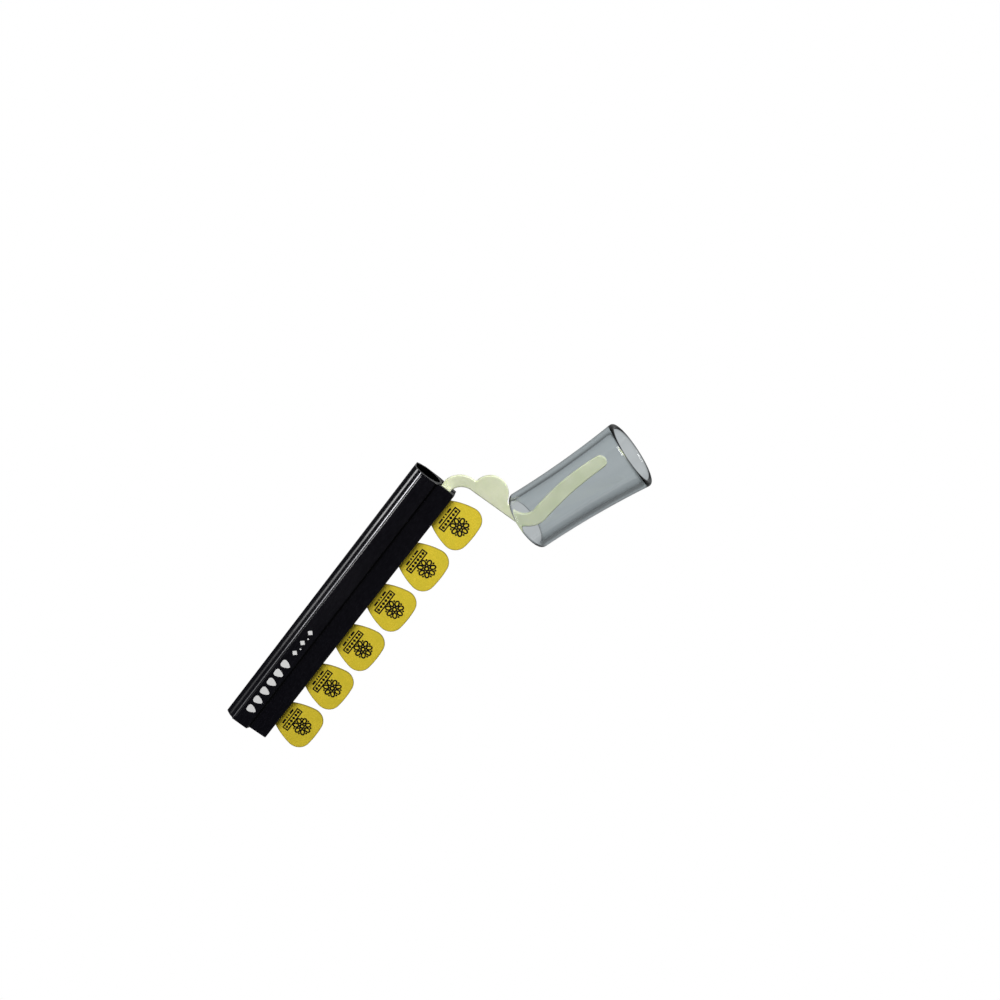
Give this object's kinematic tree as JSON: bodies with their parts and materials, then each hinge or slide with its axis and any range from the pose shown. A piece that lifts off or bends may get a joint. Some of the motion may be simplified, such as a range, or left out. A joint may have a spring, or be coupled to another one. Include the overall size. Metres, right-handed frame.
{
  "type": "pick holder",
  "caption": "Long clip-on strip for a microphone stand that holds guitar picks in a slot along its edge, with a hook at its top end that carries a glass bottleneck slide.",
  "frame": {"origin": "middle of the clip's length, on the axis of the stand tube that it grips", "axes": "+Z along the tube towards the hook's end, +X from the tube to the row of picks, +Y away from the face that carries the mark"},
  "size_m": [0.1005, 0.0472, 0.2527],
  "materials": {
    "strip_plastic": "extruded, satin gloss with fine lengthwise draw lines",
    "grip_vinyl": "soft vinyl, dull",
    "hook_plastic": "pale glow-in-the-dark plastic, slightly translucent",
    "slide_glass": "clear, fire-polished rims",
    "print_ink": "black screen-printed ink on the picks",
    "mark_ink": "white screen-printed ink on the strip's front face",
    "pick_plastic": "chalky matte yellow with a black printed device"
  },
  "bodies": {
    "holder": {"holder_strip": "strip_plastic", "front_grip": "grip_vinyl", "rear_grip": "grip_vinyl"},
    "hook": {"slide_hook": "hook_plastic"},
    "slide": {"glass_slide": "slide_glass"},
    "pick_1": {"pick_1": "pick_plastic"},
    "pick_2": {"pick_2": "pick_plastic"},
    "pick_3": {"pick_3": "pick_plastic"},
    "pick_4": {"pick_4": "pick_plastic"},
    "pick_5": {"pick_5": "pick_plastic"},
    "pick_6": {"pick_6": "pick_plastic"}
  },
  "joints": [
    {"name": "hook_pull", "type": "slide", "parent": "holder", "child": "hook", "axis": [0, 0, 1], "range_m": [0, 0.016]},
    {"name": "slide_lift", "type": "slide", "parent": "hook", "child": "slide", "axis": [0.2733, -0.2016, 0.9406], "range_m": [0, 0.064]},
    {"name": "pick_1_pull", "type": "slide", "parent": "holder", "child": "pick_1", "axis": [1, 0, 0], "range_m": [0, 0.014]},
    {"name": "pick_2_pull", "type": "slide", "parent": "holder", "child": "pick_2", "axis": [1, 0, 0], "range_m": [0, 0.014]},
    {"name": "pick_3_pull", "type": "slide", "parent": "holder", "child": "pick_3", "axis": [1, 0, 0], "range_m": [0, 0.014]},
    {"name": "pick_4_pull", "type": "slide", "parent": "holder", "child": "pick_4", "axis": [1, 0, 0], "range_m": [0, 0.014]},
    {"name": "pick_5_pull", "type": "slide", "parent": "holder", "child": "pick_5", "axis": [1, 0, 0], "range_m": [0, 0.014]},
    {"name": "pick_6_pull", "type": "slide", "parent": "holder", "child": "pick_6", "axis": [1, 0, 0], "range_m": [0, 0.014]}
  ]
}
